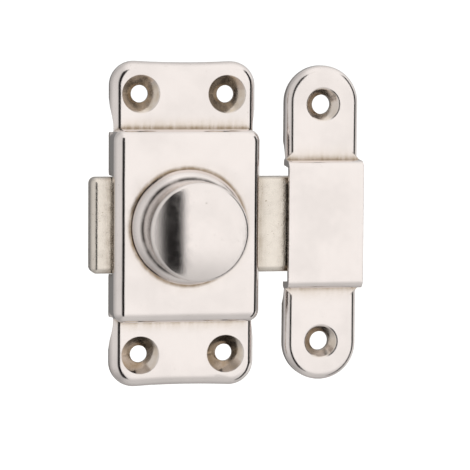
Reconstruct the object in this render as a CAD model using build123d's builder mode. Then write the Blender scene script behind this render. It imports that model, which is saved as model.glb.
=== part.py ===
"""Toggle bolt latch: a surface case with a turn knob, a sliding bolt and a separate keeper.

Sizes are in millimetres. The latch stands upright as it is screwed to a door: +Z is up, the bolt
is thrown towards +X and the front faces -Y. The origin is on the mounting plane (Y = 0), behind the
knob's axis. A "height" below is a distance in front of the mounting plane, along -Y.
"""

import os
from math import cos, radians, sin, tan

from build123d import *

# ---- case: one pressing with two screw lugs and a raised box between them
CASE_WIDTH = 27.0
CASE_LENGTH = 60.0
CASE_SHEET = 1.0
CASE_LUG_HEIGHT = 3.0
CASE_BOX_HEIGHT = 8.0
CASE_BOX_LENGTH = 35.0
CASE_STEP_SLOPE = 3.0  # degrees that each step leans back
CASE_CORNER = 4.5
CASE_END_HOLLOW = 0.25  # how far the middle of each end is drawn in, between the corners
CASE_CREST_BEND = 2.2  # outer radius where the box turns down into a step
CASE_FOOT_BEND = 0.8  # outer radius where a step turns out into a lug
CASE_EDGE_BEND = 2.1  # outer radius where the front turns down into the side walls
CASE_RIM_TAPER = 5.5  # length over which a lug's rim runs out towards the step
CASE_RIM_SAG = 0.5  # how far the end of the rim bows from a straight taper
CASE_RELIEF_HEIGHT = 2.3
CASE_RELIEF_WIDTH = 1.2
TAB_CORNER = 0.8  # rounded rear corners of the box's side walls

# ---- screw holes
CASE_SCREW_SPACING_X = 16.0
CASE_SCREW_SPACING_Z = 48.0
CASE_SCREW_HOLE = 3.2
CASE_COUNTERSINK = 7.0
KEEPER_SCREW_SPACING = 44.2
KEEPER_SCREW_HOLE = 3.6
KEEPER_COUNTERSINK = 6.2
KEEPER_DIMPLE_SOFTNESS = 0.8
COUNTERSINK_ANGLE = 90.0
DIMPLE_WALL = 0.8  # sheet left behind a pressed countersink, along the lug
DIMPLE_REAR_GAP = 0.4  # from the mounting plane to the pressed countersink's rear lip

# ---- bolt: a pressed tray, open at the back
BOLT_WIDTH = 17.6
BOLT_TAIL = 3.8  # left standing out of the case, with the bolt thrown
BOLT_ENGAGEMENT = 4.25  # reach of the nose past the keeper's near side, with the bolt thrown
BOLT_HEIGHT = 4.4
BOLT_REAR_GAP = 0.3
BOLT_SHEET = 1.0
BOLT_CORNER = 1.2
BOLT_EDGE_BEND = 1.3
BOLT_RUNNING_GAP = 0.3  # all round the bolt in the case's notches

# ---- crank that drives the bolt, a quarter turn from end to end
CRANK_THROW = 5.6
CRANK_HALF_TURN = 45.0
CRANK_SHEET = 1.2
CRANK_BOSS_RADIUS = 4.6
CRANK_TIP_RADIUS = 2.1
PIN_RADIUS = 1.0
PIN_SLOT_GAP = 0.3
PIN_HEAD_RADIUS = 1.8
PIN_HEAD_THICKNESS = 0.7
PIN_HEAD_GAP = 0.3
PIN_HEAD_CHAMFER = 0.25

# ---- spindle and its spring washer
SPINDLE_RADIUS = 2.5
SPINDLE_RUNNING_GAP = 0.05
SPINDLE_SQUARE = 3.4
SPINDLE_RIVET_RADIUS = 2.3
SPINDLE_RIVET_THICKNESS = 0.4
SPINDLE_RIVET_CHAMFER = 0.2
SPINDLE_DISC_THICKNESS = 1.0
WASHER_OUTER_RADIUS = 5.2
WASHER_BORE_GAP = 0.3
WASHER_SHEET = 0.3
WASHER_HEIGHT = 0.6
WASHER_PLAY = 0.05

# ---- knob: a rounded skirt with a domed cap crimped onto it
SKIRT_BASE_RADIUS = 10.55
SKIRT_NECK_RADIUS = 8.7
SKIRT_BULGE = 0.47  # how far the skirt swells outside a straight cone
SKIRT_LENGTH = 2.8
SKIRT_RIM = 0.2
SKIRT_LIP = 1.4
KNOB_CASE_GAP = 0.2
KNOB_SHEET = 0.6
CAP_RADIUS = 8.9
CAP_SIDE_LENGTH = 8.2
CAP_SHOULDER = 0.9
CAP_DOME_TILT = 24.5  # degrees from the axis where the dome meets the shoulder
CAP_EDGE_ROUND = 0.25

# ---- keeper: a strap bridge between two round-ended screw lugs
KEEPER_CASE_GAP = 5.75  # between the case and the keeper's lugs
KEEPER_LENGTH = 58.6
KEEPER_LUG_WIDTH = 13.7
KEEPER_BRIDGE_WIDTH = 14.1
KEEPER_BOLT_SIDE_GAP = 1.7  # above and below the bolt, inside the bridge
KEEPER_BOLT_FRONT_GAP = 1.0
KEEPER_SHEET = 1.2
KEEPER_LUG_HEIGHT = 3.0
KEEPER_STEP_SLOPE = 4.0  # degrees that each step leans back
KEEPER_CREST_BEND = 1.6
KEEPER_FOOT_BEND = 0.9
KEEPER_EDGE_BEND = 1.5
KEEPER_RIM_TAPER = 3.2
KEEPER_RIM_SAG = 0.3
KEEPER_FOOT_FLARE = 1.6  # length over which the strap narrows into the lug

# ---- places worked out from the sizes above
BOLT_REAR_REACH = CASE_WIDTH / 2 + BOLT_TAIL
BOLT_NOSE_REACH = CASE_WIDTH / 2 + KEEPER_CASE_GAP + BOLT_ENGAGEMENT
KEEPER_CENTRE_X = CASE_WIDTH / 2 + KEEPER_CASE_GAP + KEEPER_LUG_WIDTH / 2
KEEPER_BRIDGE_LENGTH = BOLT_WIDTH + 2 * (KEEPER_BOLT_SIDE_GAP + KEEPER_SHEET)
KEEPER_BRIDGE_HEIGHT = BOLT_HEIGHT + KEEPER_BOLT_FRONT_GAP + KEEPER_SHEET
CASE_INNER_HEIGHT = CASE_BOX_HEIGHT - CASE_SHEET
CRANK_FRONT_HEIGHT = CASE_INNER_HEIGHT - WASHER_HEIGHT - WASHER_PLAY
CRANK_REAR_HEIGHT = CRANK_FRONT_HEIGHT - CRANK_SHEET
BOLT_INNER_HEIGHT = BOLT_HEIGHT - BOLT_SHEET
SKIRT_BASE_HEIGHT = CASE_BOX_HEIGHT + KNOB_CASE_GAP
KNOB_JOINT_HEIGHT = SKIRT_BASE_HEIGHT + SKIRT_LENGTH
PIN_X = CRANK_THROW * sin(radians(CRANK_HALF_TURN))
PIN_Z = CRANK_THROW * cos(radians(CRANK_HALF_TURN))
PAST = 1.0  # how far a cutter runs past the face that it opens
CLOSE = 0.01  # two places nearer than this are the same, in a selection of edges
NEAR = 0.1  # a margin in a selection of edges


def at_height(height):
    """Plane parallel to the mounting plane: local x is +X, local y is +Z, normal to the front."""
    return Plane.XZ.offset(height)


def hat_points(length, lug_height, box_length, box_height, slope, base):
    """Corners of a cover's side section, as (Y, Z): two low lugs and a raised box."""
    lean = (box_height - lug_height) * tan(radians(slope))
    half_box = box_length / 2
    return [
        (base, -length / 2),
        (-lug_height, -length / 2),
        (-lug_height, -half_box - lean),
        (-box_height, -half_box),
        (-box_height, half_box),
        (-lug_height, half_box + lean),
        (-lug_height, length / 2),
        (base, length / 2),
    ]


def hat_section(start_x, points, box_length, box_height, lug_height, inset, crest_bend, foot_bend):
    """Side section at start_x, moved inwards by inset, with its crest and foot bends rounded."""
    with BuildSketch(Plane.YZ.offset(start_x)) as section:
        with BuildLine():
            Polyline(*points, close=True)
        make_face()
        if inset:
            offset(amount=-inset, kind=Kind.INTERSECTION)
        near_box = section.vertices().filter_by(lambda v: abs(v.Y) < box_length / 2 + lug_height)
        crests = near_box.filter_by(lambda v: v.X < -box_height + inset + CLOSE)
        feet = near_box.filter_by(lambda v: abs(v.X + lug_height - inset) < CLOSE)
        fillet(crests, crest_bend - inset)
        fillet(feet, foot_bend + inset)
    return section.sketch


def case_plan(inset):
    """The case's outline seen from the front, moved inwards by inset.

    Each end is an arc that falls by the hollow between the rounded corners, which keep the length."""
    half_width = CASE_WIDTH / 2
    sag = CASE_END_HOLLOW * (half_width / (half_width - CASE_CORNER)) ** 2
    corner_z = CASE_LENGTH / 2 + sag - CASE_END_HOLLOW
    with BuildSketch(Plane.XZ) as plan:
        with BuildLine():
            SagittaArc((-half_width, corner_z), (half_width, corner_z), -sag)
            Line((half_width, corner_z), (half_width, -corner_z))
            SagittaArc((half_width, -corner_z), (-half_width, -corner_z), -sag)
            Line((-half_width, -corner_z), (-half_width, corner_z))
        make_face()
        fillet(plan.vertices(), CASE_CORNER)
        if inset:
            offset(amount=-inset)
    return plan.sketch


def case_block(inset):
    """The case's outside as a solid block, or with an inset the hollow inside it."""
    points = hat_points(
        CASE_LENGTH + 2 * PAST, CASE_LUG_HEIGHT, CASE_BOX_LENGTH, CASE_BOX_HEIGHT, CASE_STEP_SLOPE,
        inset,
    )
    half_width = CASE_WIDTH / 2 - inset
    half_length = CASE_LENGTH / 2 - inset
    section = hat_section(
        -half_width, points, CASE_BOX_LENGTH, CASE_BOX_HEIGHT, CASE_LUG_HEIGHT, inset,
        CASE_CREST_BEND, CASE_FOOT_BEND,
    )
    with BuildPart() as block:
        extrude(section, amount=2 * half_width, dir=(1, 0, 0))
        extrude(case_plan(inset), amount=CASE_BOX_HEIGHT, dir=(0, -1, 0), mode=Mode.INTERSECT)
        front = block.edges().filter_by(Axis.Y, reverse=True)
        front = front.filter_by(lambda e: e.center().Y < -NEAR)
        sides = front.filter_by(lambda e: abs(e.center().X) > NEAR)
        ends = front.filter_by(lambda e: abs(e.center().Z) > half_length - CASE_CORNER)
        fillet(sides + ends, CASE_EDGE_BEND - inset)
    return block.part


def countersink_backs(centre_x, spacing_x, spacing_z, hole, sink, lug_height, sheet):
    """Cones of sheet pushed back behind the countersunk screw holes."""
    height = lug_height - sheet / 2 - DIMPLE_REAR_GAP
    tip = hole / 2 + DIMPLE_WALL
    rear = at_height(DIMPLE_REAR_GAP)
    rear.origin += Vector(centre_x, 0, 0)
    with Locations(rear):
        with GridLocations(spacing_x, spacing_z, 2 if spacing_x else 1, 2):
            Cone(tip, max(tip + height / 2, sink / 2 + DIMPLE_WALL), height,
                 align=(Align.CENTER, Align.CENTER, Align.MIN))


# ---- case
case_outside = case_block(0.0)
case_hollow = case_block(CASE_SHEET)
notch_half = BOLT_WIDTH / 2 + BOLT_RUNNING_GAP
notch_height = BOLT_HEIGHT + BOLT_RUNNING_GAP
foot_z = CASE_BOX_LENGTH / 2 + (CASE_BOX_HEIGHT - CASE_LUG_HEIGHT) * tan(radians(CASE_STEP_SLOPE))
tab_end = CASE_BOX_LENGTH / 2 - CASE_SHEET / 2
rim_start = (0, foot_z + CASE_RIM_TAPER)
rim_end = (-CASE_RELIEF_HEIGHT, tab_end + CASE_RELIEF_WIDTH)

# cut from the rear: the lugs' rims run out towards the steps, with a gap beside each side wall's tab
with BuildSketch(Plane.YZ) as relief:
    with BuildLine():
        SagittaArc(rim_start, rim_end, -CASE_RIM_SAG)
        Polyline(
            rim_end,
            (-CASE_RELIEF_HEIGHT, tab_end),
            (PAST, tab_end),
            (PAST, foot_z + CASE_RIM_TAPER),
            rim_start,
        )
    make_face()
    mirror(about=Plane.XZ)

with BuildPart() as case:
    add(case_outside)
    add(case_hollow, mode=Mode.SUBTRACT)
    countersink_backs(0, CASE_SCREW_SPACING_X, CASE_SCREW_SPACING_Z, CASE_SCREW_HOLE,
                      CASE_COUNTERSINK, CASE_LUG_HEIGHT, CASE_SHEET)
    with Locations(at_height(CASE_LUG_HEIGHT)):
        with GridLocations(CASE_SCREW_SPACING_X, CASE_SCREW_SPACING_Z, 2, 2):
            CounterSinkHole(CASE_SCREW_HOLE / 2, CASE_COUNTERSINK / 2, depth=CASE_LUG_HEIGHT + PAST,
                            counter_sink_angle=COUNTERSINK_ANGLE)
    with Locations(at_height(CASE_BOX_HEIGHT)):
        Hole(SPINDLE_RADIUS + SPINDLE_RUNNING_GAP, depth=2 * CASE_SHEET)
    # the bolt's notches, through both side walls
    with BuildSketch(Plane.YZ.offset(-CASE_WIDTH)):
        with Locations((-notch_height / 2 + PAST / 2, 0)):
            Rectangle(notch_height + PAST, 2 * notch_half)
    extrude(amount=2 * CASE_WIDTH, mode=Mode.SUBTRACT)
    for side in (-1, 1):
        inner_x = side * (CASE_WIDTH / 2 - CASE_SHEET)
        with BuildSketch(Plane.YZ.offset(inner_x)):
            add(relief.sketch_local)
        extrude(amount=side * (CASE_SHEET + PAST), mode=Mode.SUBTRACT)
    rear_corners = case.edges().filter_by(Axis.X).filter_by(lambda e: abs(e.center().Y) < CLOSE)
    fillet(rear_corners.filter_by(lambda e: abs(e.center().Z) < foot_z), TAB_CORNER)
case.part.label = "case"

# ---- bolt
bolt_length = BOLT_REAR_REACH + BOLT_NOSE_REACH
bolt_centre = (BOLT_NOSE_REACH - BOLT_REAR_REACH) / 2
slot_low = PIN_Z - PIN_RADIUS - PIN_SLOT_GAP
slot_high = CRANK_THROW + PIN_RADIUS + PIN_SLOT_GAP

with BuildPart() as bolt:
    with BuildSketch(at_height(BOLT_REAR_GAP)):
        with Locations((bolt_centre, 0)):
            RectangleRounded(bolt_length, BOLT_WIDTH, BOLT_CORNER)
    extrude(amount=BOLT_HEIGHT - BOLT_REAR_GAP)
    fillet(bolt.faces().sort_by(Axis.Y)[0].edges(), BOLT_EDGE_BEND)
    with BuildSketch(at_height(BOLT_REAR_GAP)):
        with Locations((bolt_centre, 0)):
            RectangleRounded(bolt_length - 2 * BOLT_SHEET, BOLT_WIDTH - 2 * BOLT_SHEET,
                             BOLT_CORNER - BOLT_SHEET)
    extrude(amount=BOLT_INNER_HEIGHT - BOLT_REAR_GAP, mode=Mode.SUBTRACT)
    with BuildSketch(at_height(BOLT_INNER_HEIGHT - PAST)):
        with Locations((PIN_X, (slot_low + slot_high) / 2)):
            SlotOverall(slot_high - slot_low, 2 * (PIN_RADIUS + PIN_SLOT_GAP), rotation=90)
    extrude(amount=BOLT_SHEET + 2 * PAST, mode=Mode.SUBTRACT)
bolt.part.label = "bolt"

# ---- crank plate: a boss on the spindle's square, with an arm out to the pin
with BuildPart() as crank_plate:
    with BuildSketch(at_height(CRANK_REAR_HEIGHT)):
        Circle(CRANK_BOSS_RADIUS)
        with Locations((PIN_X, PIN_Z)):
            Circle(CRANK_TIP_RADIUS)
        make_hull()
        with Locations((PIN_X, PIN_Z)):
            Circle(PIN_RADIUS, mode=Mode.SUBTRACT)
        Rectangle(SPINDLE_SQUARE, SPINDLE_SQUARE, rotation=CRANK_HALF_TURN, mode=Mode.SUBTRACT)
    extrude(amount=CRANK_SHEET)
crank_plate.part.label = "crank_plate"

# ---- drive pin: flush in the crank plate, headed behind the bolt's web
pin_head_front = BOLT_INNER_HEIGHT - PIN_HEAD_GAP

with BuildPart() as drive_pin:
    with BuildSketch(at_height(pin_head_front - PIN_HEAD_THICKNESS)):
        with Locations((PIN_X, PIN_Z)):
            Circle(PIN_HEAD_RADIUS)
    extrude(amount=PIN_HEAD_THICKNESS)
    with BuildSketch(at_height(pin_head_front)):
        with Locations((PIN_X, PIN_Z)):
            Circle(PIN_RADIUS)
    extrude(amount=CRANK_FRONT_HEIGHT - pin_head_front)
    chamfer(drive_pin.edges().sort_by(Axis.Y)[-1], PIN_HEAD_CHAMFER)
drive_pin.part.label = "drive_pin"

# ---- spindle: disc held inside the knob, round stem, square for the crank, riveted end
disc_radius = CAP_RADIUS - KNOB_SHEET

with BuildPart() as spindle:
    with BuildSketch(at_height(CRANK_REAR_HEIGHT - SPINDLE_RIVET_THICKNESS)):
        Circle(SPINDLE_RIVET_RADIUS)
    extrude(amount=SPINDLE_RIVET_THICKNESS)
    chamfer(spindle.edges().sort_by(Axis.Y)[-1], SPINDLE_RIVET_CHAMFER)
    with BuildSketch(at_height(CRANK_REAR_HEIGHT)):
        Rectangle(SPINDLE_SQUARE, SPINDLE_SQUARE, rotation=CRANK_HALF_TURN)
    extrude(amount=CRANK_SHEET)
    with BuildSketch(at_height(CRANK_FRONT_HEIGHT)):
        Circle(SPINDLE_RADIUS)
    extrude(amount=KNOB_JOINT_HEIGHT - CRANK_FRONT_HEIGHT)
    with BuildSketch(at_height(KNOB_JOINT_HEIGHT)):
        Circle(disc_radius)
    extrude(amount=SPINDLE_DISC_THICKNESS)
spindle.part.label = "spindle"

# ---- spring washer: a dished ring between the case and the crank plate
washer_bore = SPINDLE_RADIUS + WASHER_BORE_GAP

with BuildPart() as spring_washer:
    with BuildSketch(Plane.XY) as washer_section:
        with BuildLine():
            Polyline(
                (washer_bore, -CASE_INNER_HEIGHT),
                (WASHER_OUTER_RADIUS, -CASE_INNER_HEIGHT + WASHER_HEIGHT - WASHER_SHEET),
                (WASHER_OUTER_RADIUS, -CASE_INNER_HEIGHT + WASHER_HEIGHT),
                (washer_bore, -CASE_INNER_HEIGHT + WASHER_SHEET),
                close=True,
            )
        make_face()
    revolve(axis=Axis.Y)
spring_washer.part.label = "spring_washer"

# ---- knob skirt: a rounded shell with a lip turned in under the cap
skirt_rim = (SKIRT_BASE_RADIUS, -(SKIRT_BASE_HEIGHT + SKIRT_RIM))
skirt_neck = (SKIRT_NECK_RADIUS, -KNOB_JOINT_HEIGHT)
inner_neck = (SKIRT_NECK_RADIUS - KNOB_SHEET, -KNOB_JOINT_HEIGHT + KNOB_SHEET)
inner_rim = (SKIRT_BASE_RADIUS - KNOB_SHEET, -SKIRT_BASE_HEIGHT)

with BuildPart() as knob_skirt:
    with BuildSketch(Plane.XY) as skirt_section:
        with BuildLine():
            SagittaArc(skirt_rim, skirt_neck, SKIRT_BULGE)
            Polyline(
                skirt_neck,
                (SKIRT_NECK_RADIUS - SKIRT_LIP, -KNOB_JOINT_HEIGHT),
                (SKIRT_NECK_RADIUS - SKIRT_LIP, -KNOB_JOINT_HEIGHT + KNOB_SHEET),
                inner_neck,
            )
            SagittaArc(inner_neck, inner_rim, -SKIRT_BULGE)
            Polyline(inner_rim, (SKIRT_BASE_RADIUS, -SKIRT_BASE_HEIGHT), skirt_rim)
        make_face()
    revolve(axis=Axis.Y)
knob_skirt.part.label = "knob_skirt"


# ---- knob cap: a drawn shell with a straight side, a tight shoulder and a domed front
def cap_outline(inset):
    """Corners and arcs of the cap's half section, moved inwards by inset."""
    side = CAP_RADIUS - inset
    shoulder = CAP_SHOULDER - inset
    side_top = -(KNOB_JOINT_HEIGHT + CAP_SIDE_LENGTH)
    tilt = radians(CAP_DOME_TILT)
    dome_edge_radius = CAP_RADIUS - CAP_SHOULDER + CAP_SHOULDER * sin(tilt)
    dome_radius = dome_edge_radius / sin(tilt)
    dome_centre = side_top - CAP_SHOULDER * cos(tilt) + dome_radius * cos(tilt)
    with BuildSketch(Plane.XY) as outline:
        with BuildLine():
            Line((0, -KNOB_JOINT_HEIGHT), (side, -KNOB_JOINT_HEIGHT))
            Line((side, -KNOB_JOINT_HEIGHT), (side, side_top))
            CenterArc((CAP_RADIUS - CAP_SHOULDER, side_top), shoulder, 0, -(90 - CAP_DOME_TILT))
            CenterArc((0, dome_centre), dome_radius - inset, -(90 - CAP_DOME_TILT), -CAP_DOME_TILT)
            Line((0, dome_centre - dome_radius + inset), (0, -KNOB_JOINT_HEIGHT))
        make_face()
    return outline.sketch


cap_outside = cap_outline(0.0)
cap_inside = cap_outline(KNOB_SHEET)

with BuildPart() as knob_cap:
    with BuildSketch(Plane.XY):
        add(cap_outside)
        add(cap_inside, mode=Mode.SUBTRACT)
    revolve(axis=Axis.Y)
    circles = knob_cap.edges().filter_by(GeomType.CIRCLE)
    rim = circles.filter_by(lambda e: e.radius > CAP_RADIUS - CLOSE).sort_by(Axis.Y)[-1]
    fillet(rim, CAP_EDGE_ROUND)
knob_cap.part.label = "knob_cap"


# ---- keeper
keeper_lean = (KEEPER_BRIDGE_HEIGHT - KEEPER_LUG_HEIGHT) * tan(radians(KEEPER_STEP_SLOPE))


def keeper_lug(inset, height, direction):
    """One round-ended lug as a block from the strap's foot outwards, direction +1 up or -1 down."""
    half_width = KEEPER_LUG_WIDTH / 2 - inset
    end_z = KEEPER_LENGTH / 2 - KEEPER_LUG_WIDTH / 2
    start_z = KEEPER_BRIDGE_LENGTH / 2 + keeper_lean
    with BuildPart() as lug:
        with BuildSketch(Plane.XZ):
            with Locations((KEEPER_CENTRE_X, direction * end_z)):
                Circle(half_width)
            with Locations((KEEPER_CENTRE_X, direction * (start_z + end_z) / 2)):
                Rectangle(2 * half_width, end_z - start_z)
        extrude(amount=height)
        top = lug.faces().sort_by(Axis.Y)[0].edges()
        bend = KEEPER_EDGE_BEND - inset
        fillet(top.filter_by(lambda e: abs(e.center().Z) > start_z + NEAR), bend)
    return lug.part


keeper_points = hat_points(
    KEEPER_LENGTH, KEEPER_LUG_HEIGHT, KEEPER_BRIDGE_LENGTH, KEEPER_BRIDGE_HEIGHT, KEEPER_STEP_SLOPE, 0
)
strap_start_x = KEEPER_CENTRE_X - KEEPER_BRIDGE_WIDTH
keeper_outer_section = hat_section(
    strap_start_x, keeper_points, KEEPER_BRIDGE_LENGTH, KEEPER_BRIDGE_HEIGHT, KEEPER_LUG_HEIGHT, 0.0,
    KEEPER_CREST_BEND, KEEPER_FOOT_BEND,
)
inner_points = hat_points(
    KEEPER_LENGTH, KEEPER_LUG_HEIGHT, KEEPER_BRIDGE_LENGTH, KEEPER_BRIDGE_HEIGHT, KEEPER_STEP_SLOPE,
    KEEPER_SHEET,
)
keeper_inner_section = hat_section(
    strap_start_x, inner_points, KEEPER_BRIDGE_LENGTH, KEEPER_BRIDGE_HEIGHT, KEEPER_LUG_HEIGHT,
    KEEPER_SHEET, KEEPER_CREST_BEND, KEEPER_FOOT_BEND,
)
lug_inner_height = KEEPER_LUG_HEIGHT - KEEPER_SHEET
strap_flare_z = KEEPER_BRIDGE_LENGTH / 2 + keeper_lean
strap_foot_half = KEEPER_LUG_WIDTH / 2 - KEEPER_EDGE_BEND
strap_end_z = strap_flare_z + KEEPER_FOOT_FLARE
strap_rim_start = (0, strap_flare_z + KEEPER_RIM_TAPER)
strap_rim_end = (-lug_inner_height, strap_flare_z)
bridge_half = KEEPER_BRIDGE_WIDTH / 2
strap_corners = [
    (bridge_half, strap_flare_z),
    (strap_foot_half, strap_end_z),
    (-strap_foot_half, strap_end_z),
    (-bridge_half, strap_flare_z),
    (-bridge_half, -strap_flare_z),
    (-strap_foot_half, -strap_end_z),
    (strap_foot_half, -strap_end_z),
    (bridge_half, -strap_flare_z),
]

with BuildPart() as strap:
    extrude(keeper_outer_section, amount=2 * KEEPER_BRIDGE_WIDTH, dir=(1, 0, 0))
    extrude(keeper_inner_section, amount=2 * KEEPER_BRIDGE_WIDTH, dir=(1, 0, 0), mode=Mode.SUBTRACT)
    with BuildSketch(Plane.XZ):
        with Locations((KEEPER_CENTRE_X, 0)):
            strap_outline = Polygon(*strap_corners)
        flares = strap_outline.vertices().filter_by(lambda v: abs(v.Y) < strap_flare_z + NEAR)
        fillet(flares, KEEPER_FOOT_BEND)
    extrude(amount=KEEPER_BRIDGE_HEIGHT, mode=Mode.INTERSECT)

with BuildPart() as keeper:
    add(strap.part)
    for direction in (-1, 1):
        add(keeper_lug(0.0, KEEPER_LUG_HEIGHT, direction))
        add(keeper_lug(KEEPER_SHEET, lug_inner_height, direction), mode=Mode.SUBTRACT)
    countersink_backs(KEEPER_CENTRE_X, 0, KEEPER_SCREW_SPACING, KEEPER_SCREW_HOLE,
                      KEEPER_COUNTERSINK, KEEPER_LUG_HEIGHT, KEEPER_SHEET)
    keeper_front = at_height(KEEPER_LUG_HEIGHT)
    keeper_front.origin += Vector(KEEPER_CENTRE_X, 0, 0)
    with Locations(keeper_front):
        with GridLocations(0, KEEPER_SCREW_SPACING, 1, 2):
            CounterSinkHole(KEEPER_SCREW_HOLE / 2, KEEPER_COUNTERSINK / 2,
                            depth=KEEPER_LUG_HEIGHT + PAST, counter_sink_angle=COUNTERSINK_ANGLE)
    circles = keeper.edges().filter_by(GeomType.CIRCLE)
    circles = circles.filter_by(lambda e: abs(e.center().Y + KEEPER_LUG_HEIGHT) < CLOSE)
    sinks = circles.filter_by(lambda e: abs(e.radius - KEEPER_COUNTERSINK / 2) < CLOSE)
    fillet(sinks, KEEPER_DIMPLE_SOFTNESS)
    # the lugs' rims run out towards the strap
    with BuildSketch(Plane.YZ.offset(strap_start_x)):
        with BuildLine():
            SagittaArc(strap_rim_start, strap_rim_end, -KEEPER_RIM_SAG)
            Polyline(
                strap_rim_end,
                (-lug_inner_height, 0),
                (PAST, 0),
                (PAST, strap_flare_z + KEEPER_RIM_TAPER),
                strap_rim_start,
            )
        make_face()
        mirror(about=Plane.XZ)
    extrude(amount=2 * KEEPER_BRIDGE_WIDTH, mode=Mode.SUBTRACT)
keeper.part.label = "keeper"

os.makedirs("parts", exist_ok=True)
export_step(case.part, "parts/case.step")
export_step(bolt.part, "parts/bolt.step")
export_step(crank_plate.part, "parts/crank_plate.step")
export_step(drive_pin.part, "parts/drive_pin.step")
export_step(spindle.part, "parts/spindle.step")
export_step(spring_washer.part, "parts/spring_washer.step")
export_step(knob_skirt.part, "parts/knob_skirt.step")
export_step(knob_cap.part, "parts/knob_cap.step")
export_step(keeper.part, "parts/keeper.step")
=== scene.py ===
"""Toggle bolt latch in satin nickel plate: looks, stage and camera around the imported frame."""

from math import atan, cos, hypot, pi, radians, sin

import bmesh
import bpy
import numpy as np
from bpy.props import FloatProperty, FloatVectorProperty, IntProperty, PointerProperty
from mathutils import Matrix, Vector


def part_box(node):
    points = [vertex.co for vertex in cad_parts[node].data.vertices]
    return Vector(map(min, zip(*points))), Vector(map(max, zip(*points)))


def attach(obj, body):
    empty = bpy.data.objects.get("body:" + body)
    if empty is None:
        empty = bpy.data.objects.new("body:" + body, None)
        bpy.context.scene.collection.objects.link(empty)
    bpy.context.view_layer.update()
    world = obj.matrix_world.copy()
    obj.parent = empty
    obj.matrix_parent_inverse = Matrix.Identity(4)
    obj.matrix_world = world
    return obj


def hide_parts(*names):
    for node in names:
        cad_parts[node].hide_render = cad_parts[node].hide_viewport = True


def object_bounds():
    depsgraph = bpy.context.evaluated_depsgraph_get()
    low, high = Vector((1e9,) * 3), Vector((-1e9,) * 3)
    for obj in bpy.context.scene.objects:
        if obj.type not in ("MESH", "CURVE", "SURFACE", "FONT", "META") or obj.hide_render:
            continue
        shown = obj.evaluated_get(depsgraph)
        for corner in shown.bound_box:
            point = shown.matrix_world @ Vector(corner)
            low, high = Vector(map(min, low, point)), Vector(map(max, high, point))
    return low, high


bl_info = {
    "name": "Toggle Bolt Latch",
    "version": (1, 0, 0),
    "blender": (4, 5, 0),
    "location": "View3D > Sidebar > Latch",
    "description": "Dresses a small pressed-steel surface latch in nickel plate",
    "category": "Object",
}

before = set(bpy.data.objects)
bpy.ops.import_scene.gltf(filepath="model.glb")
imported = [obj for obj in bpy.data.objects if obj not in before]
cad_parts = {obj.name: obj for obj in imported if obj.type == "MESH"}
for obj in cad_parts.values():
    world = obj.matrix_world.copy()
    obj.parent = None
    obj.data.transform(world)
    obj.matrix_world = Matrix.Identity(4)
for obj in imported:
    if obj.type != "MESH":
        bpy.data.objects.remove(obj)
CAD_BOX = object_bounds()
MM = 0.001
SAME_PLACE = 1e-8  # metres; mesh points nearer than this are one
PAST_SHOULDER = 0.01  # radians from the end of the shoulder's arc to the dome's next point

# Screw holes, to be darkened with painted shade: x of their centre, half spacings in x and z, and the
# sink's radius
CASE_SINKS = (0.0, 8.0 * MM, 24.0 * MM, 3.5 * MM)
KEEPER_SINKS = (26.1 * MM, 0.0, 22.1 * MM, 3.1 * MM)

BLACK = (0.0, 0.0, 0.0, 1.0)
WHITE = (1.0, 1.0, 1.0, 1.0)
# Near black of the painted shade in the crease where the knob's cap meets its skirt
JOINT_SHADE_COLOUR = (0.02, 0.016, 0.012, 1.0)
FLOOR_COLOURS = ((0.93, 0.93, 0.93, 1.0), (0.96, 0.96, 0.955, 1.0))
FLOOR_GLOW = 0.4

# The studio: its colours, and the degrees between which each dark strip starts, is full and ends
STUDIO_PALE = (1.02, 1.0, 0.985, 1.0)
STUDIO_DARK = (0.014, 0.013, 0.013, 1.0)
STUDIO_STRENGTH = 1.08
FRONT_STRIP_TURN = (-42.0, -26.0, -11.0, -5.0)
FRONT_STRIP_RISE = (-52.0, -46.0, 37.0, 45.0)
SIDE_STRIP_TURN = (60.0, 65.0, 86.0, 92.0)
SIDE_STRIP_RISE = (-70.0, -60.0, 35.0, 45.0)
HOLLOW_DIP = 8.0  # degrees below level of the dim round patch behind the latch
HOLLOW_REACH = (34.0, 12.0)  # degrees from its middle where it starts, and where it is full
HOLLOW_LEVEL = 0.32


# ---- mesh helpers

def mesh_from_grid(name, points, close_rows=False, close_columns=False):
    """A mesh over a grid of points of shape (rows, columns, 3): each cell becomes one quad.

    Rows or columns are joined end to end when they close on themselves. Points that meet at a pole
    are merged, so that the quads there become triangles."""
    rows, columns = points.shape[:2]
    index = np.arange(rows * columns).reshape(rows, columns)
    if close_rows:
        index = np.concatenate([index, index[:1]], axis=0)
    if close_columns:
        index = np.concatenate([index, index[:, :1]], axis=1)
    quads = np.stack([index[:-1, :-1], index[:-1, 1:], index[1:, 1:], index[1:, :-1]], axis=-1)
    mesh = bpy.data.meshes.new(name)
    mesh.from_pydata(points.reshape(-1, 3), [], quads.reshape(-1, 4))
    work = bmesh.new()
    work.from_mesh(mesh)
    bmesh.ops.remove_doubles(work, verts=work.verts, dist=SAME_PLACE)
    bmesh.ops.recalc_face_normals(work, faces=work.faces)
    work.to_mesh(mesh)
    work.free()
    mesh.polygons.foreach_set("use_smooth", np.ones(len(mesh.polygons), bool))
    mesh.update()
    return mesh


def turned(name, section, segments):
    """A shell turned about the knob's axis from a closed half section.

    The section holds radii and heights in front of the mounting plane. Each corner is carried round
    a circle: x = radius times the cosine, z = radius times the sine, y = minus the height."""
    angle = np.linspace(0.0, 2.0 * pi, segments, endpoint=False)
    radius, height = section[0][:, None], section[1][:, None]
    points = np.stack([radius * np.cos(angle), 0.0 * angle - height, radius * np.sin(angle)], axis=-1)
    return mesh_from_grid(name, points, close_rows=True, close_columns=True)


def arc(centre, radius, start, end, steps):
    """Points of a circle about a centre, from start to end in radians from the radial direction."""
    angle = np.linspace(start, end, steps)
    return centre[0] + radius * np.cos(angle), centre[1] + radius * np.sin(angle)


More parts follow.
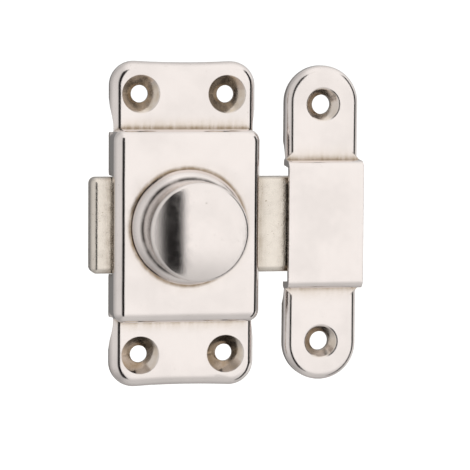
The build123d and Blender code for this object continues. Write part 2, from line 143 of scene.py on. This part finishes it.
def bowed(start, end, sag, steps):
    """Points of the arc from start to end that bows sideways by sag.

    With half turn t = 2 atan(2 sag / chord), a point at angle a lies sin(a) / (2 sin(t)) of the chord
    from its middle and (cos(a) - cos(t)) / (2 sin(t)) of it to the left."""
    along_r, along_h = end[0] - start[0], end[1] - start[1]
    half_turn = 2.0 * atan(2.0 * sag / hypot(along_r, along_h))
    angle = np.linspace(-half_turn, half_turn, steps)
    along = 0.5 + np.sin(angle) / (2.0 * sin(half_turn))
    aside = (np.cos(angle) - cos(half_turn)) / (2.0 * sin(half_turn))
    return (
        start[0] + along * along_r - aside * along_h,
        start[1] + along * along_h + aside * along_r,
    )


def chain(*stretches):
    """Joins stretches of section points into two arrays: radii and heights."""
    radii = np.concatenate([np.atleast_1d(stretch[0]) for stretch in stretches])
    heights = np.concatenate([np.atleast_1d(stretch[1]) for stretch in stretches])
    return radii, heights


def add_piece(mesh, body, node, material):
    """Links a finished mesh as a piece that rides on a body and stands for a CAD node."""
    piece = bpy.data.objects.new(mesh.name, mesh)
    bpy.context.scene.collection.objects.link(piece)
    mesh.materials.append(material)
    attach(piece, body)
    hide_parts(node)


def dress(node, material):
    """Gives a CAD node its finish."""
    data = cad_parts[node].data
    data.materials.clear()
    data.materials.append(material)


# ---- node helpers

class Graph:
    """A short way to lay out shader nodes: every call adds one node and returns an output."""

    def __init__(self, tree):
        self.tree = tree
        tree.nodes.clear()

    def node(self, kind, inputs=(), output=0, **settings):
        made = self.tree.nodes.new(kind)
        for key, value in settings.items():
            setattr(made, key, value)
        for key, value in dict(inputs).items():
            socket = made.inputs[key]
            if isinstance(value, bpy.types.NodeSocket):
                self.tree.links.new(value, socket)
            else:
                socket.default_value = value
        return made.outputs[output] if made.outputs else made

    def math(self, operation, a, b=0.0):
        """One sum or function of a, and of b where it takes two."""
        return self.node("ShaderNodeMath", {0: a, 1: b}, operation=operation)

    def axes(self, vector):
        """The three parts of a vector."""
        made = self.tree.nodes.new("ShaderNodeSeparateXYZ")
        self.tree.links.new(vector, made.inputs[0])
        return made.outputs

    def ramp(self, value, low, high, start=0.0, end=1.0):
        """Smooth step: start below low, end above high."""
        return self.node(
            "ShaderNodeMapRange",
            {"Value": value, "From Min": low, "From Max": high, "To Min": start, "To Max": end},
            interpolation_type="SMOOTHSTEP",
        )

    def mix(self, factor, a, b):
        """Colour a at factor 0 and b at factor 1."""
        return self.node("ShaderNodeMix", {0: factor, 6: a, 7: b}, output=2, data_type="RGBA")

    def noise(self, coordinates, scale, detail=2.0, roughness=0.5):
        """Noise from 0 to 1: its features are about one over the scale in size."""
        return self.node(
            "ShaderNodeTexNoise",
            {"Vector": coordinates, "Scale": scale, "Detail": detail, "Roughness": roughness},
        )


def rgba(colour):
    """A colour with full opacity."""
    return (*colour, 1.0)


class Plate:
    """One plated finish, built up layer by layer: painted shade and shadow, stains, pits, waves and
    grain.
    """

    def __init__(self, name, colour, stain_and_shade):
        self.material = bpy.data.materials.new(name)
        self.material.use_nodes = True
        self.graph = Graph(self.material.node_tree)
        self.place = self.graph.node("ShaderNodeTexCoord", output=3)
        self.stain_and_shade = rgba(stain_and_shade)
        self.normal = None
        # soft clouds where the polish and the plate's thickness differ
        cloud = self.graph.noise(self.place, 110.0, 3.0)
        darker = rgba(c * 0.93 for c in colour)
        self.colour = self.graph.mix(self.graph.ramp(cloud, 0.38, 0.68), rgba(colour), darker)

    def patches(self, scale, high, least):
        """Soft patches from least to 1, which fade or keep the painted shade and stains laid over them.
        """
        return self.graph.ramp(self.graph.noise(self.place, scale, 3.0), 0.3, high, least, 1.0)

    def lay_stain_and_shade(self, mask, tint=None):
        """Lays colour where the mask is 1, for painted shade and for real pits alike: brown, or another
        tint.
        """
        self.colour = self.graph.mix(mask, self.colour, tint or self.stain_and_shade)

    def creases(self, reach, amount, tint=None):
        """Painted shade in inside corners, darkest where ambient occlusion is deepest and tinted brown:
        wider and fainter by turns, in streaks drawn by the press.
        """
        graph = self.graph
        closed = graph.node("ShaderNodeAmbientOcclusion", {"Distance": reach}, output=1, samples=12)
        streaks = graph.node("ShaderNodeMapping", {"Vector": self.place, "Scale": (1.0, 0.12, 0.12)})
        streak = graph.ramp(graph.noise(streaks, 1700.0, 3.0, 0.7), 0.3, 0.7, 0.55, 1.0)
        depth = graph.ramp(closed, 0.5, 0.93, amount, 0.0)
        streaked = graph.math("MULTIPLY", depth, streak)
        self.lay_stain_and_shade(graph.math("MULTIPLY", streaked, self.patches(420.0, 0.7, 0.72)), tint)

    def rear_edge_shade(self, reach, amount):
        """Painted shade that creeps up from the edge at the mounting plane, darkest at the plane."""
        graph = self.graph
        y = graph.axes(self.place)[1]
        wander = graph.ramp(graph.noise(self.place, 300.0, 2.0), 0.3, 0.7, 0.0, reach * 0.5)
        height = graph.math("ADD", graph.math("MULTIPLY", y, -1.0), wander)
        self.lay_stain_and_shade(graph.ramp(height, 0.0, reach, amount, 0.0))

    def seam(self, height, reach, amount, tint):
        """Painted shade in the crease where the knob's cap meets its skirt: a smooth hump over the
        height in front of the mounting plane.
        """
        graph = self.graph
        off = graph.math("ABSOLUTE", graph.math("ADD", graph.axes(self.place)[1], height))
        hump = graph.ramp(off, 0.0, reach, amount, 0.0)
        self.lay_stain_and_shade(graph.math("MULTIPLY", hump, self.patches(600.0, 0.6, 0.6)), tint)

    def ring(self, radius, width, amount):
        """A painted contact shadow on the case round the knob's base, about the knob's axis: a smooth
        hump over the distance from the axis.
        """
        graph = self.graph
        flat = graph.node(
            "ShaderNodeVectorMath", {0: self.place, 1: (1.0, 0.0, 1.0)}, operation="MULTIPLY"
        )
        away = graph.node("ShaderNodeVectorMath", {0: flat}, output=1, operation="LENGTH")
        off = graph.math("ABSOLUTE", graph.math("SUBTRACT", away, radius))
        hump = graph.ramp(off, 0.0, width, amount, 0.0)
        self.lay_stain_and_shade(graph.math("MULTIPLY", hump, self.patches(500.0, 0.75, 0.35)))

    def sinks(self, holes, amount, tint):
        """Painted shade in the screw holes' countersinks, mirrored about a centre: x and z are folded
        by their absolutes.
        """
        graph = self.graph
        centre_x, spread_x, spread_z, radius = holes
        x, _, z = graph.axes(self.place)
        fold_x = graph.math("ABSOLUTE", graph.math("SUBTRACT", x, centre_x))
        off_x = graph.math("SUBTRACT", fold_x, spread_x)
        off_z = graph.math("SUBTRACT", graph.math("ABSOLUTE", z), spread_z)
        squares = graph.math(
            "ADD", graph.math("MULTIPLY", off_x, off_x), graph.math("MULTIPLY", off_z, off_z)
        )
        away = graph.math("SQRT", squares)
        hole = graph.ramp(away, radius * 0.9, radius * 1.06, amount, 0.0)
        self.lay_stain_and_shade(graph.math("MULTIPLY", hole, self.patches(380.0, 0.7, 0.45)), tint)

    def pits(self, size, amount):
        """Small dark pits of a size, scattered in a few places."""
        graph = self.graph
        spot = graph.noise(self.place, 1.0 / size, 1.0, 0.4)
        rare = graph.ramp(graph.noise(self.place, 0.11 / size, 1.0), 0.45, 0.6)
        self.lay_stain_and_shade(graph.math("MULTIPLY", graph.ramp(spot, 0.7, 0.78, 0.0, amount), rare))

    def bump(self, size, detail, roughness, depth):
        """Adds noise relief of a size: its 0 to 1 stands for a depth."""
        height = self.graph.noise(self.place, 1.0 / size, detail, roughness)
        inputs = {"Height": height, "Distance": depth}
        if self.normal is not None:
            inputs["Normal"] = self.normal
        self.normal = self.graph.node("ShaderNodeBump", inputs)

    def edges(self, radius):
        """Rounds sheared edges by turning the normals across them."""
        self.normal = self.graph.node("ShaderNodeBevel", {"Radius": radius}, samples=4)

    def waves(self, size, depth):
        """The faint unevenness of pressed and hand-polished sheet."""
        self.bump(size, 1.0, 0.3, depth)

    def grain(self, size, depth):
        """Fine grain under the plate."""
        self.bump(size, 2.0, 0.6, depth)

    def finish(self, roughness, spread):
        """Closes the material with a roughness that varies by spread over patches."""
        graph = self.graph
        smear = graph.noise(self.place, 700.0, 4.0, 0.65)
        rough = graph.ramp(smear, 0.3, 0.7, roughness * (1.0 - spread), roughness * (1.0 + spread))
        inputs = {"Base Color": self.colour, "Roughness": rough, "Metallic": 1.0}
        if self.normal is not None:
            inputs["Normal"] = self.normal
        shader = graph.node("ShaderNodeBsdfPrincipled", inputs)
        graph.node("ShaderNodeOutputMaterial", {"Surface": shader})
        return self.material


# ---- settings a user would change

class LatchFinish(bpy.types.PropertyGroup):
    """Colours and gloss of the plate."""

    nickel: FloatVectorProperty(
        name="Nickel", description="Colour of the pressed case, keeper and knob", subtype="COLOR",
        default=(0.84, 0.79, 0.765), min=0.0, max=1.0,
    )
    bolt: FloatVectorProperty(
        name="Bolt", description="Colour of the bolt, a duller and yellower plate", subtype="COLOR",
        default=(0.80, 0.745, 0.67), min=0.0, max=1.0,
    )
    # Brown of the real pits, and of the painted shade in creases, at rear edges and round the knob's
    # base
    stain_and_shade: FloatVectorProperty(
        name="Stain", description="Brown left by the plating bath in creases and pits", subtype="COLOR",
        default=(0.235, 0.165, 0.095), min=0.0, max=1.0,
    )
    # Tint of the painted shade in the wide creases and the countersinks
    tan: FloatVectorProperty(
        name="Tan", description="Thin yellow-brown stain in hollows", subtype="COLOR",
        default=(0.52, 0.41, 0.27), min=0.0, max=1.0,
    )
    steel: FloatVectorProperty(
        name="Steel", description="Colour of the inner works", subtype="COLOR",
        default=(0.55, 0.54, 0.52), min=0.0, max=1.0,
    )
    roughness: FloatProperty(
        name="Roughness", description="Softness of the reflections in the plate", default=0.12,
        min=0.02, max=0.9, subtype="FACTOR",
    )
    grain_size: FloatProperty(
        name="Grain", description="Size of the grain in the plate", default=0.22 * MM,
        min=0.05 * MM, max=2 * MM, unit="LENGTH",
    )


class LatchKnob(bpy.types.PropertyGroup):
    """Form of the knob's two shells."""

    segments: IntProperty(
        name="Segments", description="Facets round the knob", default=256, min=24, max=512,
    )
    sheet: FloatProperty(
        name="Sheet", description="Thickness of the knob's shells", default=0.6 * MM,
        min=0.1 * MM, max=2 * MM, unit="LENGTH",
    )
    shoulder: FloatProperty(
        name="Shoulder", description="Radius between the cap's side and its dome", default=0.9 * MM,
        min=0.1 * MM, max=3 * MM, unit="LENGTH",
    )
    dome_tilt: FloatProperty(
        name="Dome tilt", description="Slope of the dome where it meets the shoulder",
        default=radians(24.5), min=radians(5.0), max=radians(60.0), subtype="ANGLE",
    )
    rim: FloatProperty(
        name="Cap rim", description="Rounding of the cap's lower rim", default=0.25 * MM,
        min=0.05 * MM, max=1 * MM, unit="LENGTH",
    )
    neck: FloatProperty(
        name="Neck", description="Radius of the skirt under the cap", default=8.7 * MM,
        min=5 * MM, max=10 * MM, unit="LENGTH",
    )
    swell: FloatProperty(
        name="Swell", description="How far the skirt swells outside a straight cone",
        default=0.47 * MM, min=0.1 * MM, max=1 * MM, unit="LENGTH",
    )
    lip: FloatProperty(
        name="Lip", description="Height of the skirt's rounded outer lip", default=0.2 * MM,
        min=0.05 * MM, max=1 * MM, unit="LENGTH",
    )


class LatchStage(bpy.types.PropertyGroup):
    """Camera, floor and studio."""

    camera_turn: FloatProperty(
        name="Turn", description="Camera's turn to the left of square on", default=radians(11.52),
        subtype="ANGLE",
    )
    camera_rise: FloatProperty(
        name="Rise", description="Camera's angle above level", default=radians(4.9), subtype="ANGLE",
    )
    camera_roll: FloatProperty(
        name="Roll", description="Camera's roll", default=radians(0.41), subtype="ANGLE",
    )
    camera_distance: FloatProperty(
        name="Distance", description="From the camera to what it aims at", default=0.446, unit="LENGTH",
    )
    lens: FloatProperty(
        name="Lens", description="Focal length on a 36 mm sensor", default=183.8, unit="CAMERA",
    )
    aim: FloatVectorProperty(
        name="Aim", description="Point on the mounting plane in the middle of the view",
        default=(10.26 * MM, 0.0, -2.23 * MM), subtype="TRANSLATION",
    )
    floor_drop: FloatProperty(
        name="Floor drop", description="From the latch's lowest point to the floor",
        default=0.05, unit="LENGTH",
    )


# ---- one operator per piece or group of pieces

class LATCH_OT_case(bpy.types.Operator):
    """Finish the pressed case"""

    bl_idname = "latch.case"
    bl_label = "Case"

    def execute(self, context):
        finish = context.scene.latch_finish
        plate = Plate("case_nickel", finish.nickel, finish.stain_and_shade)
        # Painted shade in creases, countersinks and at the rear edge, and a painted shadow round the
        # knob's base
        plate.creases(3.4 * MM, 0.6, rgba(finish.tan))
        plate.creases(1.1 * MM, 1.0)
        plate.sinks(CASE_SINKS, 0.7, rgba(finish.tan))
        plate.rear_edge_shade(2.4 * MM, 0.55)
        skirt_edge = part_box("knob_skirt")[1].x
        plate.ring(skirt_edge + 0.1 * MM, 0.7 * MM, 0.9)
        plate.pits(0.2 * MM, 0.6)
        plate.edges(0.12 * MM)
        plate.waves(4.0 * MM, 0.06 * MM)
        plate.grain(finish.grain_size, 0.002 * MM)
        dress("case", plate.finish(finish.roughness, 0.3))
        return {"FINISHED"}


class LATCH_OT_keeper(bpy.types.Operator):
    """Finish the keeper"""

    bl_idname = "latch.keeper"
    bl_label = "Keeper"

    def execute(self, context):
        finish = context.scene.latch_finish
        plate = Plate("keeper_nickel", finish.nickel, finish.stain_and_shade)
        # Painted shade in creases, countersinks and at the rear edge
        plate.creases(4.2 * MM, 0.65, rgba(finish.tan))
        plate.creases(1.4 * MM, 0.9)
        plate.sinks(KEEPER_SINKS, 0.5, rgba(finish.tan))
        plate.rear_edge_shade(2.4 * MM, 0.8)
        plate.pits(0.2 * MM, 0.6)
        plate.edges(0.2 * MM)
        plate.waves(4.0 * MM, 0.06 * MM)
        plate.grain(finish.grain_size, 0.003 * MM)
        dress("keeper", plate.finish(finish.roughness * 1.2, 0.3))
        return {"FINISHED"}


class LATCH_OT_bolt(bpy.types.Operator):
    """Finish the sliding bolt"""

    bl_idname = "latch.bolt"
    bl_label = "Bolt"

    def execute(self, context):
        finish = context.scene.latch_finish
        plate = Plate("bolt_nickel", finish.bolt, finish.stain_and_shade)
        # Painted shade in creases and at the rear edge
        plate.creases(3.0 * MM, 0.9)
        plate.rear_edge_shade(1.6 * MM, 0.5)
        plate.pits(0.35 * MM, 0.5)
        plate.grain(0.9 * MM, 0.015 * MM)
        plate.grain(finish.grain_size, 0.022 * MM)
        dress("bolt", plate.finish(finish.roughness * 2.0, 0.25))
        return {"FINISHED"}


class LATCH_OT_knob(bpy.types.Operator):
    """Build the knob's domed cap and rounded skirt"""

    bl_idname = "latch.knob"
    bl_label = "Knob"

    def execute(self, context):
        finish = context.scene.latch_finish
        knob = context.scene.latch_knob
        plate = Plate("knob_nickel", finish.nickel, finish.stain_and_shade)
        # Painted shade in creases and where the cap meets the skirt
        plate.creases(1.8 * MM, 0.7)
        joint = -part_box("knob_skirt")[0].y
        plate.seam(joint, 0.5 * MM, 1.0, JOINT_SHADE_COLOUR)
        plate.pits(0.2 * MM, 0.6)
        plate.waves(3.0 * MM, 0.012 * MM)
        plate.grain(finish.grain_size, 0.011 * MM)
        material = plate.finish(finish.roughness * 1.2, 0.3)
        self.cap(knob, material)
        self.skirt(knob, material)
        return {"FINISHED"}

    def cap(self, knob, material):
        """The cap's section runs up its side, round its shoulder and over its dome, and back inside.

        The dome is part of a sphere that leaves the shoulder at the dome's tilt."""
        low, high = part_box("knob_cap")
        side, joint, top = high.x, -high.y, -low.y
        tilt = knob.dome_tilt
        dome_radius = (side - knob.shoulder + knob.shoulder * sin(tilt)) / sin(tilt)
        dome = (0.0, top - dome_radius)
        shoulder = (side - knob.shoulder, dome[1] + (dome_radius - knob.shoulder) * cos(tilt))
        lean = pi / 2 - tilt
        rim, sheet = knob.rim, knob.sheet
        side_heights = np.linspace(joint + 2 * rim, shoulder[1] - rim, 8)
        section = chain(
            arc((side - rim, joint + rim), rim, -pi / 2, 0.0, 8),
            (np.full_like(side_heights, side), side_heights),
            arc(shoulder, knob.shoulder, 0.0, lean, 16),
            arc(dome, dome_radius, lean + PAST_SHOULDER, pi / 2, 48),
            arc(dome, dome_radius - sheet, pi / 2, lean + PAST_SHOULDER, 24),
            arc(shoulder, knob.shoulder - sheet, lean, 0.0, 6),
            (np.full(4, side - sheet), np.linspace(shoulder[1] - rim, joint, 4)),
        )
        mesh = turned("knob_cap_shell", section, knob.segments)
        add_piece(mesh, "knob", "knob_cap", material)

    def skirt(self, knob, material):
        """The skirt's section runs from its lip up a swelling arc to the neck, in under the cap, and
        back down a second arc inside the first."""
        low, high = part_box("knob_skirt")
        base, rear, joint = high.x, -high.y, -low.y
        lip, sheet, neck = knob.lip, knob.sheet, knob.neck
        half = lip / 2
        lip_centre = (base - half, rear + half)
        section = chain(
            arc(lip_centre, half, -pi / 2, 0.0, 8),
            bowed((base, rear + lip), (neck, joint), -knob.swell, 48),
            (neck - 2 * sheet, joint),
            (neck - 2 * sheet, joint - sheet),
            bowed((neck - sheet, joint - sheet), (base - sheet, rear), knob.swell, 24),
        )
        mesh = turned("knob_skirt_shell", section, knob.segments)
        add_piece(mesh, "knob", "knob_skirt", material)


class LATCH_OT_works(bpy.types.Operator):
    """Finish the spindle, crank plate, drive pin and spring washer"""

    bl_idname = "latch.works"
    bl_label = "Inner works"

    def execute(self, context):
        finish = context.scene.latch_finish
        steel = self.steel("inner_steel", finish.steel, finish)
        spring = self.steel("spring_steel", [c * 0.6 for c in finish.steel], finish)
        for node in ("spindle", "crank_plate", "drive_pin"):
            dress(node, steel)
        dress("spring_washer", spring)
        return {"FINISHED"}

    def steel(self, name, colour, finish):
        """Bare steel with a film of oil, with brown painted shade in its corners."""
        plate = Plate(name, colour, finish.stain_and_shade)
        plate.creases(1.0 * MM, 0.5)
        plate.pits(0.25 * MM, 0.5)
        plate.edges(0.1 * MM)
        plate.grain(finish.grain_size, 0.006 * MM)
        return plate.finish(finish.roughness * 2.4, 0.3)


class LATCH_OT_stage(bpy.types.Operator):
    """Set the camera, the pale floor and the soft studio"""

    bl_idname = "latch.stage"
    bl_label = "Stage"

    def execute(self, context):
        stage = context.scene.latch_stage
        self.camera(context.scene, stage)
        self.floor(context.scene, stage)
        self.studio(context.scene, stage)
        context.scene.view_settings.view_transform = "Standard"
        return {"FINISHED"}

    def camera(self, scene, stage):
        """A camera that looks at the aim from the left and above, rolled about its own axis."""
        turn, rise, roll = stage.camera_turn, stage.camera_rise, stage.camera_roll
        back = Vector((-sin(turn) * cos(rise), -cos(turn) * cos(rise), sin(rise)))
        right = (-back).cross(Vector((0.0, 0.0, 1.0))).normalized()
        up = back.cross(right)
        rolled_right = cos(roll) * right + sin(roll) * up
        rolled_up = cos(roll) * up - sin(roll) * right
        data = bpy.data.cameras.new("camera")
        data.lens = stage.lens
        data.sensor_width = 36.0
        data.clip_start = 0.01
        camera = bpy.data.objects.new("camera", data)
        place = Matrix.Translation(Vector(stage.aim) + back * stage.camera_distance)
        camera.matrix_world = place @ Matrix((rolled_right, rolled_up, back)).transposed().to_4x4()
        scene.collection.objects.link(camera)
        scene.camera = camera

    def floor(self, scene, stage):
        """A flat floor of rings: x = r times the cosine and y = r times the sine, at one level."""
        level = CAD_BOX[0][2] - stage.floor_drop
        ring = np.linspace(0.02, 3.0, 24)[:, None]
        angle = np.linspace(0.0, 2.0 * pi, 64, endpoint=False)
        points = np.stack([ring * np.cos(angle), ring * np.sin(angle), level + 0.0 * ring * angle], -1)
        mesh = mesh_from_grid("floor", points[::-1], close_columns=True)
        material = bpy.data.materials.new("floor")
        material.use_nodes = True
        graph = Graph(material.node_tree)
        place = graph.node("ShaderNodeTexCoord", output=3)
        colour = graph.mix(graph.noise(place, 6.0), *FLOOR_COLOURS)
        glow = {"Emission Color": colour, "Emission Strength": FLOOR_GLOW}
        shader = graph.node(
            "ShaderNodeBsdfPrincipled", {"Base Color": colour, "Roughness": 0.9, **glow}
        )
        graph.node("ShaderNodeOutputMaterial", {"Surface": shader})
        mesh.materials.append(material)
        floor = bpy.data.objects.new("floor", mesh)
        floor.visible_glossy = False
        scene.collection.objects.link(floor)

    def studio(self, scene, stage):
        """A pale studio: brightest in front and above, greyer to the left, behind and below.

        Two dark strips stand in it, one in front and to the left, and one at the right. A dim round
        patch lies behind the latch. Only reflections and light see it: the backdrop is white."""
        world = bpy.data.worlds.new("studio")
        scene.world = world
        world.use_nodes = True
        graph = Graph(world.node_tree)
        direction = graph.node("ShaderNodeTexCoord", output=0)
        x, y, z = graph.axes(direction)
        turn = graph.math("ARCTAN2", x, graph.math("MULTIPLY", y, -1.0))
        rise = graph.math("ARCSINE", z)

        def window(value, start, low, high, end):
            """Rises from 0 to 1 between start and low degrees, and falls to 0 from high to end."""
            return graph.math(
                "MULTIPLY",
                graph.ramp(value, radians(start), radians(low)),
                graph.ramp(value, radians(high), radians(end), 1.0, 0.0),
            )

        left = graph.ramp(x, -0.55, -0.1, 0.72, 1.0)
        right = graph.ramp(x, 0.93, 1.0, 1.0, 0.5)
        behind = graph.ramp(y, -0.25, 0.95, 1.0, 0.6)
        below = graph.ramp(z, -0.9, -0.25, 0.62, 1.0)
        level = graph.math("MULTIPLY", graph.math("MULTIPLY", left, right),
                           graph.math("MULTIPLY", behind, below))
        dip = radians(HOLLOW_DIP)
        back = Vector((0.0, cos(dip), -sin(dip)))
        toward_back = graph.node(
            "ShaderNodeVectorMath", {0: direction, 1: back}, output=1, operation="DOT_PRODUCT"
        )
        edge, full = (cos(radians(angle)) for angle in HOLLOW_REACH)
        level = graph.math("MULTIPLY", level, graph.ramp(toward_back, edge, full, 1.0, HOLLOW_LEVEL))
        front_strip = graph.math(
            "MULTIPLY", window(turn, *FRONT_STRIP_TURN), window(rise, *FRONT_STRIP_RISE)
        )
        side_strip = graph.math(
            "MULTIPLY", window(turn, *SIDE_STRIP_TURN), window(rise, *SIDE_STRIP_RISE)
        )
        dark = graph.math("MAXIMUM", front_strip, side_strip)
        sky = graph.mix(dark, graph.mix(level, BLACK, STUDIO_PALE), STUDIO_DARK)
        seen = graph.node("ShaderNodeLightPath", output=0)
        colour = graph.mix(seen, sky, WHITE)
        shader = graph.node("ShaderNodeBackground", {"Color": colour, "Strength": STUDIO_STRENGTH})
        graph.node("ShaderNodeOutputWorld", {"Surface": shader})


class LATCH_PT_panel(bpy.types.Panel):
    """Buttons and settings of the latch"""

    bl_idname = "LATCH_PT_panel"
    bl_label = "Toggle bolt latch"
    bl_space_type = "VIEW_3D"
    bl_region_type = "UI"
    bl_category = "Latch"

    def draw(self, context):
        layout = self.layout
        for operator in OPERATORS:
            layout.operator(operator.bl_idname)
        for group in (context.scene.latch_finish, context.scene.latch_knob, context.scene.latch_stage):
            box = layout.box()
            for name in group.bl_rna.properties.keys():
                if name not in ("rna_type", "name"):
                    box.prop(group, name)


OPERATORS = (
    LATCH_OT_case, LATCH_OT_keeper, LATCH_OT_bolt, LATCH_OT_knob, LATCH_OT_works, LATCH_OT_stage,
)
GROUPS = {"latch_finish": LatchFinish, "latch_knob": LatchKnob, "latch_stage": LatchStage}


def register():
    for group in GROUPS.values():
        bpy.utils.register_class(group)
    for name, group in GROUPS.items():
        setattr(bpy.types.Scene, name, PointerProperty(type=group))
    for operator in OPERATORS:
        bpy.utils.register_class(operator)
    bpy.utils.register_class(LATCH_PT_panel)


def unregister():
    bpy.utils.unregister_class(LATCH_PT_panel)
    for operator in reversed(OPERATORS):
        bpy.utils.unregister_class(operator)
    for name, group in GROUPS.items():
        delattr(bpy.types.Scene, name)
        bpy.utils.unregister_class(group)


def main():
    register()
    for operator in OPERATORS:
        group, name = operator.bl_idname.split(".")
        getattr(getattr(bpy.ops, group), name)()


if __name__ == "__main__":
    main()
